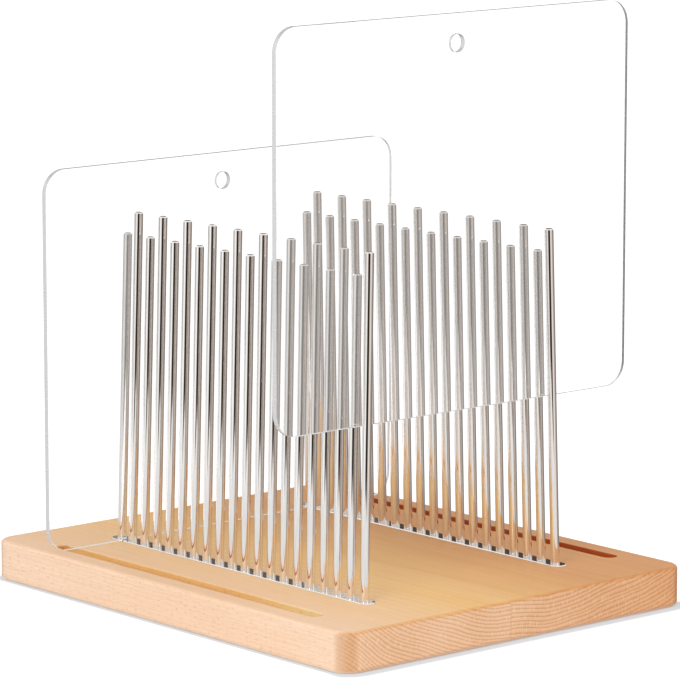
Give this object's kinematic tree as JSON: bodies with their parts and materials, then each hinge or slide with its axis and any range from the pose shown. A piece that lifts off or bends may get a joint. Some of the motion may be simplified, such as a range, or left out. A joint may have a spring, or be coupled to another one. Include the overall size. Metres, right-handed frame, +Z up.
{
  "type": "bread slicing guide",
  "caption": "Wooden board with facing rows of upright steel rods that guide a bread knife; clear end panels slide up out of the rod gaps and stow in grooves in the board.",
  "frame": {"origin": "centre of the board's underside, on the surface it stands on", "axes": "+X across the rod rows to the right, +Y along the rows to the back, +Z up"},
  "size_m": [0.228, 0.276, 0.2996],
  "materials": {
    "beech": "oiled",
    "stainless_rod": "polished",
    "stainless_strip": "polished",
    "screw_steel": "satin",
    "clear_acrylic": "clear, flame-polished edges"
  },
  "bodies": {
    "board_and_rods": {"base_board": "beech", "left_strip": "stainless_strip", "right_strip": "stainless_strip", "left_rod_01": "stainless_rod", "left_rod_02": "stainless_rod", "left_rod_03": "stainless_rod", "left_rod_04": "stainless_rod", "left_rod_05": "stainless_rod", "left_rod_06": "stainless_rod", "left_rod_07": "stainless_rod", "left_rod_08": "stainless_rod", "left_rod_09": "stainless_rod", "left_rod_10": "stainless_rod", "left_rod_11": "stainless_rod", "left_rod_12": "stainless_rod", "left_rod_13": "stainless_rod", "left_rod_14": "stainless_rod", "left_rod_15": "stainless_rod", "left_rod_16": "stainless_rod", "left_rod_17": "stainless_rod", "left_rod_18": "stainless_rod", "left_rod_19": "stainless_rod", "left_rod_20": "stainless_rod", "right_rod_01": "stainless_rod", "right_rod_02": "stainless_rod", "right_rod_03": "stainless_rod", "right_rod_04": "stainless_rod", "right_rod_05": "stainless_rod", "right_rod_06": "stainless_rod", "right_rod_07": "stainless_rod", "right_rod_08": "stainless_rod", "right_rod_09": "stainless_rod", "right_rod_10": "stainless_rod", "right_rod_11": "stainless_rod", "right_rod_12": "stainless_rod", "right_rod_13": "stainless_rod", "right_rod_14": "stainless_rod", "right_rod_15": "stainless_rod", "right_rod_16": "stainless_rod", "right_rod_17": "stainless_rod", "right_rod_18": "stainless_rod", "right_rod_19": "stainless_rod", "right_rod_20": "stainless_rod", "left_strip_screws": "screw_steel", "right_strip_screws": "screw_steel"},
    "front_panel": {"front_panel": "clear_acrylic"},
    "back_panel": {"back_panel": "clear_acrylic"}
  },
  "joints": [
    {"name": "front_panel_lift", "type": "slide", "parent": "board_and_rods", "child": "front_panel", "axis": [0, 0, 1], "range_m": [-0.0845, 0.09]},
    {"name": "back_panel_lift", "type": "slide", "parent": "board_and_rods", "child": "back_panel", "axis": [0, 0, 1], "range_m": [0, 0.175]}
  ]
}
